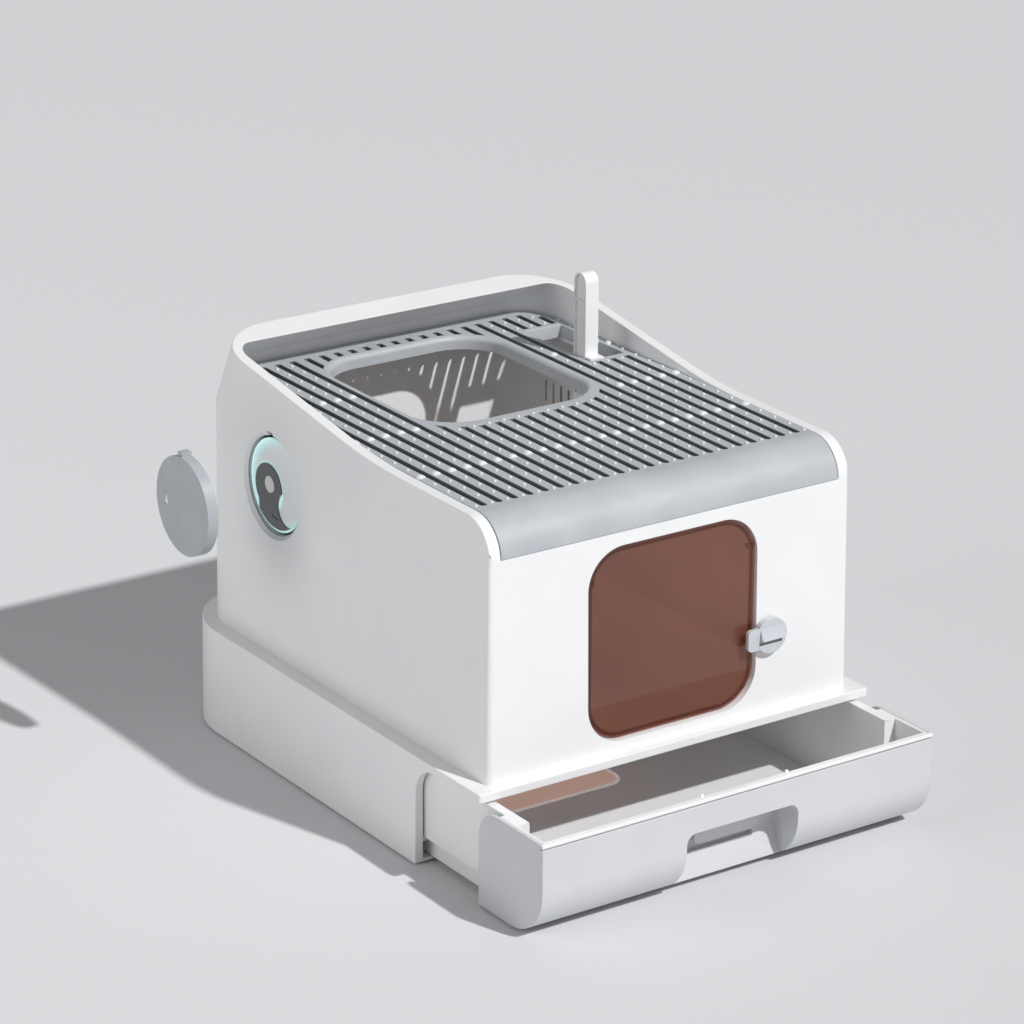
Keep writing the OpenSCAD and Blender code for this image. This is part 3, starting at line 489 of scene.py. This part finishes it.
# Room across the faces of an edge, up to the edges on their other side
def roomAcross(edge, chosen):
    plan, room = roomPlan, 1.0  # a metre stands for no limit
    a, b = (vert.co for vert in edge.verts)
    for face in edge.link_faces:
        for facing in face.edges:
            if set(facing.verts) & set(edge.verts):
                continue
            c, d = (vert.co for vert in facing.verts)
            share = plan["shared"] if facing in chosen else plan["alone"]
            for point, start, end in ((c, a, b), (d, a, b), (a, c, d), (b, c, d)):
                foot, part = intersect_point_line(point, start, end)
                if 0 <= part <= 1:
                    room = min(room, (point - foot).length * share)
    return room


softRules = {"weld": 0.002 * mm, "flat": math.radians(0.4), "least": 40, "sharp": 32, "segments": 3}


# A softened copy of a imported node: chosen sharp edges are rounded as a mould rounds them. Its loose
# triangles are welded first. Where flat ones are also merged, no edge gets more than it has room for
def softCopy(nodeName, plan):
    piece = bpy.data.objects.new(nodeName + "_moulding", nodes[nodeName].data.copy())
    bpy.context.scene.collection.objects.link(piece)
    width, merge = plan["edge"] * mm, plan.get("merge", True)
    bm = bmesh.new()
    bm.from_mesh(piece.data)
    bmesh.ops.remove_doubles(bm, verts=bm.verts, dist=softRules["weld"])
    if merge:
        bmesh.ops.dissolve_limit(bm, angle_limit=softRules["flat"], verts=bm.verts, edges=bm.edges)
    weight = bm.edges.layers.float.new("bevel_weight_edge")
    least = math.radians(plan.get("least", softRules["least"]))
    chosen = {}
    for edge in bm.edges:
        angle = edge.calc_face_angle(0)
        if angle > least:
            share = plan["choose"](edge.verts[0].co, edge.verts[1].co, angle) if "choose" in plan else 1.0
            if share > 0:
                chosen[edge] = share
    for edge, share in chosen.items():
        room = min(roomAtEnds(edge, chosen), roomAcross(edge, chosen)) if merge else width
        edge[weight] = min(share, room / width)
    bm.to_mesh(piece.data)
    bm.free()
    # the imported corner normals don't fit the merged faces
    carried = piece.data.attributes.get("custom_normal")
    if carried:
        piece.data.attributes.remove(carried)
    piece.data.materials.clear()
    piece.data.materials.append(materials[plan["material"]])
    piece.data.shade_smooth()
    piece.data.set_sharp_from_angle(angle=math.radians(plan.get("sharp", softRules["sharp"])))
    bevel = piece.modifiers.new("edges", "BEVEL")
    bevel.width = width
    bevel.segments = softRules["segments"]
    bevel.profile = 0.5
    bevel.limit_method = "WEIGHT"
    bevel.use_clamp_overlap = False
    bevel.harden_normals = True
    bevel.miter_outer = "MITER_ARC"
    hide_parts(nodeName)
    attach(piece, plan["body"])
    return piece


# edge is the width of the rounding in millimetres, least and sharp are angles in degrees; the scoop's
# thin ribs round more cleanly unmerged
softPlan = {
    "base_shell": {"material": "whiteAbs", "edge": 0.9, "body": "base", "choose": baseEdges},
    "hood_shell": {"material": "whiteAbs", "edge": 2.6, "body": "base", "choose": hoodEdges,
                   "least": 16, "sharp": 22},
    "drawer_tray": {"material": "whiteAbs", "edge": 0.8, "body": "drawer", "choose": drawerEdges},
    "drawer_front": {"material": "frontShadeAbs", "edge": 0.5, "body": "drawer", "choose": drawerEdges},
    "side_cover": {"material": "coverAbs", "edge": 0.25, "body": "cover"},
    "latch_knob": {"material": "latchAbs", "edge": 0.3, "body": "latch"},
    "scoop": {"material": "whiteAbs", "edge": 0.6, "body": "scoop", "choose": scoopEdges,
              "merge": False},
}
softened = {nodeName: softCopy(nodeName, plan) for nodeName, plan in softPlan.items()}

markPlan = {"x": -268.3 * mm, "near": 0.1 * mm, "square": 0.9}

# the cover's mark is a white insert at the bottom of its shallow recess
coverData = softened["side_cover"].data
coverData.materials.append(materials["whiteAbs"])
for face in coverData.polygons:
    if abs(face.center.x - markPlan["x"]) < markPlan["near"] and abs(face.normal.x) > markPlan["square"]:
        face.material_index = 1
print("mouldings softened:", len(softPlan))

# the grille lid in millimetres, level with the hood's rim and nose; bars is the number to each side
lidPlan = {
    "half": 168.84, "front": hoodPlan["noseY"], "back": 213.3, "top": hoodPlan["rim"], "thick": 12,
    "edge": 0.8, "corner": 46, "cornerSteps": 16, "edgeSteps": 3, "pitch": 15, "bars": 11,
    "roll": {"radius": hoodPlan["noseR"], "z": hoodPlan["noseZ"], "thick": 3.2, "foot": 289.5,
             "steps": 28},
    "slot": {"w": 6, "front": -197.1, "back": 199.4, "edge": 0.55, "fromCorner": 4, "endSteps": 8,
             "cutSteps": 6},
    "ring": {"x": 0, "y": 80.4, "w": 174, "h": 200, "r": 44, "edge": 5.0, "steps": 16, "edgeSteps": 8},
    "surround": {"y": 76.4, "w": 186, "h": 222, "r": 49},
    "hatch": {"x": 140.75, "y": 105.4, "w": 39.5, "h": 98, "r": 1.5, "edge": 0.7, "steps": 3,
              "edgeSteps": 3, "sideGap": 5, "endGap": 6, "studGap": 4},
    # levels are pairs: inset and rise for a stud, place along y and loss of radius for a bump
    "stud": {"w": 2.4, "r": 0.45, "steps": 2, "start": 2, "pitch": 20, "count": 20,
             "ringGap": 14, "edgeGap": 3, "levels": ((0, -0.1), (0, 0.8), (0.14, 1.15), (0.45, 1.35))},
    "bump": {"rows": (-114.6, -14.6, 85.4), "r": 4.2, "sunk": 2, "lean": 70, "step": 14, "ringGap": 12,
             "levels": ((-3, 1.3), (-2.75, 0.6), (-2.3, 0.2), (-1.6, 0), (1.6, 0), (2.3, 0.2),
                        (2.75, 0.6), (3, 1.3))},
    "ringSide": 6, "lip": 0.25, "sharp": 34, "finishes": ("satinAbs", "slotShadeAbs", "studHighlightAbs"),
}


# Points of a rounded rectangle, counter-clockwise
def roundedLoop(x, y, w, h, r, steps):
    loop = []
    for sideX, sideY, start in ((1, 1, 0), (-1, 1, 90), (-1, -1, 180), (1, -1, 270)):
        for k in range(steps + 1):
            turn = math.radians(start + 90 * k / steps)
            loop.append((x + sideX * (w / 2 - r) + r * math.cos(turn),
                         y + sideY * (h / 2 - r) + r * math.sin(turn)))
    return loop


# Moves a counter-clockwise loop outwards by a distance, square to its sides
def offsetLoop(loop, distance):
    moved = []
    for k, point in enumerate(loop):
        before, here, after = Vector(loop[k - 1]), Vector(point), Vector(loop[(k + 1) % len(loop)])
        a, b = (here - before).normalized(), (after - here).normalized()
        total = Vector((a.y, -a.x)) + Vector((b.y, -b.x))
        moved.append(here + total * (2 * distance / max(total.length_squared, 1.0)))
    return moved


# A flat loop in millimetres, raised to a height and turned to metres
def lift(loop, z):
    return [(x * mm, y * mm, z * mm) for x, y in loop]


# Rings of corners joined to walls; the first and last rings stay open
def skin(bm, rings, closed=True):
    rows = [[bm.verts.new(point) for point in ring] for ring in rings]
    for low, high in zip(rows, rows[1:]):
        count = len(low)
        for k in range(count if closed else count - 1):
            bm.faces.new((low[k], low[(k + 1) % count], high[(k + 1) % count], high[k]))
    return rows


# Rounded rim from the flat top down to the wall: pairs of outward offset and drop
def rimSteps(edge, steps):
    turns = [math.pi / 2 * k / steps for k in range(steps + 1)]
    return [(edge + lidPlan["lip"], 0.0)] + [(edge * (1 - math.sin(turn)), edge * (1 - math.cos(turn)))
                                             for turn in turns]


# Front and back end of the plain surround of the entry hole at a given x
def surroundEnds(surround, x):
    past = max(0.0, abs(x) - (surround["w"] / 2 - surround["r"]))
    reach = surround["h"] / 2 - surround["r"] + math.sqrt(max(0.0, surround["r"] ** 2 - past ** 2))
    return surround["y"] - reach, surround["y"] + reach


# Back end of a slot: the outer ones stop short of the rounded corners
def slotEnd(plan, x):
    slot = plan["slot"]
    past = max(0.0, abs(x) + slot["w"] / 2 - plan["half"] + plan["corner"])
    reach = math.sqrt((plan["corner"] - slot["fromCorner"]) ** 2 - past ** 2)
    return min(slot["back"], plan["back"] - plan["corner"] + reach)


# Half round end of a slot
def slotArc(x, y, radius, start, steps):
    turns = [math.radians(start + 180 * k / steps) for k in range(steps + 1)]
    return [(x + radius * math.cos(turn), y + radius * math.sin(turn)) for turn in turns]


# Outlines of the slots, each cut short where it meets the surround or the scoop's hatch
def slotLoops(plan):
    slot, surround, hatch = plan["slot"], plan["surround"], plan["hatch"]
    half, steps, loops = slot["w"] / 2, slot["cutSteps"], []
    near = hatch["y"] - hatch["h"] / 2 - hatch["endGap"]
    far = hatch["y"] + hatch["h"] / 2 + hatch["endGap"]
    for bar in range(plan["bars"]):
        for side in (-1, 1):
            x = side * (bar + 0.5) * plan["pitch"]
            front = slotArc(x, slot["front"] + half, half, 180, slot["endSteps"])
            back = slotArc(x, slotEnd(plan, x) - half, half, 0, slot["endSteps"])
            if abs(x) < surround["w"] / 2:
                across = [x + half * (1 - 2 * k / steps) for k in range(steps + 1)]
                loops.append(front + [(end, surroundEnds(surround, end)[0]) for end in across])
                loops.append(back + [(end, surroundEnds(surround, end)[1]) for end in reversed(across)])
            elif x > hatch["x"] - hatch["w"] / 2 - hatch["sideGap"]:
                loops.append(front + [(x + half, near), (x - half, near)])
                loops.append(back + [(x - half, far), (x + half, far)])
            else:
                loops.append(front + back)
    return loops


# The plate's outer wall, square at the roll and rounded at the back, with its flat front closed
def plateWall(bm, plan):
    half, front, corner = plan["half"], plan["front"], plan["corner"]
    outline = [(half, front)]
    for side, start in ((1, 0), (-1, 90)):
        for k in range(plan["cornerSteps"] + 1):
            turn = math.radians(start + 90 * k / plan["cornerSteps"])
            outline.append((side * (half - corner) + corner * math.cos(turn),
                            plan["back"] - corner + corner * math.sin(turn)))
    outline.append((-half, front))
    ahead = front - corner  # points in front of the outline keep its sides straight while they move in
    rows = []
    for inset, drop in rimSteps(plan["edge"], plan["edgeSteps"]) + [(0.0, plan["thick"])]:
        ring = offsetLoop([(half, ahead)] + outline + [(-half, ahead)], -inset)[1:-1]
        ring[0].y = ring[-1].y = front
        rows.append(lift(ring, plan["top"] - drop))
    sides = skin(bm, rows, closed=False)
    bm.faces.new([row[-1] for row in sides] + [row[0] for row in reversed(sides)])
    return sides[0], sides[-1]


# A hole through the plate with a rounded rim; its wall takes one of the lid's finishes
def cutHole(bm, plan, loop, edge, steps, finish=0):
    rings = [lift(offsetLoop(loop, out), plan["top"] - drop) for out, drop in rimSteps(edge, steps)]
    rings.append(lift(loop, plan["top"] - plan["thick"]))
    rows = skin(bm, rings)
    bm.faces.ensure_lookup_table()
    for face in bm.faces[len(bm.faces) - len(loop):]:
        face.material_index = finish
    return rows[0], rows[-1]


# Fills the flat top or underside between the outline and all holes
def fillBetween(bm, loops):
    edges = []
    for loop in loops:
        for k in range(len(loop)):
            pair = (loop[k], loop[(k + 1) % len(loop)])
            edges.append(bm.edges.get(pair) or bm.edges.new(pair))
    bmesh.ops.triangle_fill(bm, use_beauty=True, use_dissolve=False, edges=edges)


# The roll over the front edge; its ends carry on the rounding of the plate's sides
def frontRoll(bm, plan):
    roll = plan["roll"]
    sweep = math.pi / 2 - math.asin((roll["foot"] - roll["z"]) / roll["radius"])
    turns = [sweep * k / roll["steps"] for k in range(roll["steps"] + 1)]
    inner = [(roll["radius"] - roll["thick"], turn) for turn in reversed(turns)]

    def section(x, drop):
        outer = [(roll["radius"] - drop, turn) for turn in turns]
        return [(x * mm, (plan["front"] - radius * math.sin(turn)) * mm,
                 (roll["z"] + radius * math.cos(turn)) * mm) for radius, turn in outer + inner]

    profile = [(plan["half"] - inset, drop) for inset, drop in rimSteps(plan["edge"], plan["edgeSteps"])]
    across = [(-x, drop) for x, drop in reversed(profile)] + profile
    rows = skin(bm, [section(x, drop) for x, drop in across])
    for row in (rows[0], rows[-1]):
        bm.faces.new(row)


# The next three functions say where studs and bumps are left out
def nearRing(plan, x, y, gap):
    ring = plan["ring"]
    return abs(x) < ring["w"] / 2 + plan["ringSide"] and abs(y - ring["y"]) < ring["h"] / 2 + gap


def nearHatch(plan, x, y):
    hatch = plan["hatch"]
    gap = hatch["studGap"]
    return abs(x - hatch["x"]) < hatch["w"] / 2 + gap and abs(y - hatch["y"]) < hatch["h"] / 2 + gap


def offLid(plan, x, y):
    gap, corner = plan["stud"]["edgeGap"], plan["corner"]
    past = math.hypot(max(0, abs(x) - plan["half"] + corner), max(0, y - plan["back"] + corner))
    return abs(x) > plan["half"] - gap or past > corner - gap


def addStud(bm, plan, x, y):
    stud = plan["stud"]
    rings = [lift(roundedLoop(x, y, stud["w"] - 2 * inset, stud["w"] - 2 * inset, stud["r"],
                              stud["steps"]), plan["top"] + rise) for inset, rise in stud["levels"]]
    bm.faces.new(skin(bm, rings)[-1])


# A rounded bump across a bar, most of its round below the bar's top
def addBump(bm, plan, x, y):
    bump = plan["bump"]
    turns = [math.radians(lean) for lean in range(-bump["lean"], bump["lean"] + 1, bump["step"])]
    rings = []
    for along, cut in bump["levels"]:
        radius = bump["r"] - cut
        rings.append([((x + radius * math.sin(turn)) * mm, (y + along) * mm,
                       (plan["top"] - bump["sunk"] + radius * math.cos(turn)) * mm) for turn in turns])
    rows = skin(bm, rings, closed=False)
    for row in (rows[0], rows[-1]):
        bm.faces.new(row)


# Small studs along the bars and taller bumps in three rows; all get the third finish, the pale one with
# the painted highlight
def addGrip(bm, plan):
    known = len(bm.faces)
    stud, bump = plan["stud"], plan["bump"]
    for bar in range(-plan["bars"], plan["bars"] + 1):
        x = bar * plan["pitch"]
        for k in range(stud["count"]):
            y = plan["slot"]["front"] + stud["start"] + k * stud["pitch"]
            if not (nearRing(plan, x, y, stud["ringGap"]) or nearHatch(plan, x, y) or offLid(plan, x, y)):
                addStud(bm, plan, x, y)
        for y in bump["rows"]:
            if not (nearRing(plan, x, y, bump["ringGap"]) or nearHatch(plan, x, y)):
                addBump(bm, plan, x, y)
    bm.faces.ensure_lookup_table()
    for face in bm.faces[known:]:
        face.material_index = 2


# The shape of the lid: plate, holes, roll and grip
def grilleLid(plan):
    bm = bmesh.new()
    rims = [plateWall(bm, plan)]
    for hole in (plan["ring"], plan["hatch"]):
        loop = roundedLoop(hole["x"], hole["y"], hole["w"], hole["h"], hole["r"], hole["steps"])
        rims.append(cutHole(bm, plan, loop, hole["edge"], hole["edgeSteps"]))
    for loop in slotLoops(plan):
        # the slot walls take the second finish, the dark one that paints their shade
        rims.append(cutHole(bm, plan, loop, plan["slot"]["edge"], plan["edgeSteps"], 1))
    for loops in zip(*rims):
        fillBetween(bm, loops)
    frontRoll(bm, plan)
    addGrip(bm, plan)
    bmesh.ops.remove_doubles(bm, verts=bm.verts, dist=0.001 * mm)
    bmesh.ops.recalc_face_normals(bm, faces=bm.faces)
    return bm


# The lid as a piece of its own: grey, with painted shade in the slots and a painted highlight on the
# studs and bumps
def makeLid(plan):
    data = bpy.data.meshes.new("grille_lid_moulding")
    bm = grilleLid(plan)
    bm.to_mesh(data)
    bm.free()
    piece = bpy.data.objects.new("grille_lid_moulding", data)
    bpy.context.scene.collection.objects.link(piece)
    for finish in plan["finishes"]:
        data.materials.append(materials[finish])
    data.shade_smooth()
    data.set_sharp_from_angle(angle=math.radians(plan["sharp"]))
    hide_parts("lid_panel")
    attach(piece, "lid")


makeLid(lidPlan)
print("grille lid built")

finishPlan = {
    "base_feet": "padRubber", "drawer_rails": "acetal", "hood_screws": "drawnSteel",
    "deodoriser_bay": "whiteAbs", "deodoriser_body": "housingAbs", "deodoriser_lens": "frostedGuide",
    "deodoriser_face": "slateAbs", "deodoriser_button": "acetal", "button_spring": "drawnSteel",
    "circuit_board": "boardLaminate", "battery": "sleeveFilm", "vent_panel": "acetal",
    "vent_pad": "carbonFelt", "lid_pins": "drawnSteel", "door_flap": "tintedAcrylic",
    "flap_pins": "drawnSteel", "latch_spindle": "drawnSteel", "front_screws": "drawnSteel",
    "drawer_label": "labelPaper",
}
for nodeName, finish in finishPlan.items():
    for slotItem in nodes[nodeName].material_slots:
        slotItem.material = materials[finish]
print("nodes finished:", len(finishPlan))

stagePlan = {"size": 14.0, "floor": "#D9DADC", "rough": 0.85, "backdrop": "#E2E3E5",
             "light": 0.34, "seen": 0.95}  # the backdrop's strength as a light and as it is seen


# A matt painted floor
def makeFloor(plan):
    bm = bmesh.new()
    bmesh.ops.create_grid(bm, x_segments=2, y_segments=2, size=plan["size"] / 2)
    data = bpy.data.meshes.new("floor")
    bm.to_mesh(data)
    bm.free()
    floor = bpy.data.objects.new("floor", data)
    bpy.context.scene.collection.objects.link(floor)
    material, tree = newMaterial("floorPaint")
    shader = addNode(tree, "ShaderNodeBsdfPrincipled",
                     {"Base Color": toLinear(plan["floor"]), "Roughness": plan["rough"]})
    addNode(tree, "ShaderNodeOutputMaterial", links={"Surface": shader.outputs["BSDF"]})
    data.materials.append(material)


# The backdrop: brighter to the camera and through the clear flap than it is as a light
def makeWorld(plan):
    world = bpy.data.worlds.new("studio")
    bpy.context.scene.world = world
    world.use_nodes = True
    tree = world.node_tree
    tree.nodes.clear()
    path = addNode(tree, "ShaderNodeLightPath")
    seen = addNode(tree, "ShaderNodeMath", {"operation": "MAXIMUM"},
                   {0: path.outputs["Is Camera Ray"], 1: path.outputs["Is Transmission Ray"]})
    strength = addNode(tree, "ShaderNodeMapRange", {"To Min": plan["light"], "To Max": plan["seen"]},
                       {"Value": seen.outputs["Value"]})
    sky = addNode(tree, "ShaderNodeBackground", {"Color": toLinear(plan["backdrop"])},
                  {"Strength": strength.outputs["Result"]})
    addNode(tree, "ShaderNodeOutputWorld", links={"Surface": sky.outputs["Background"]})


makeFloor(stagePlan)
makeWorld(stagePlan)
makeLights(lightPlan)
makeCamera(cameraPlan)
bpy.context.scene.view_settings.view_transform = "Standard"
print("stage, lights and camera made")
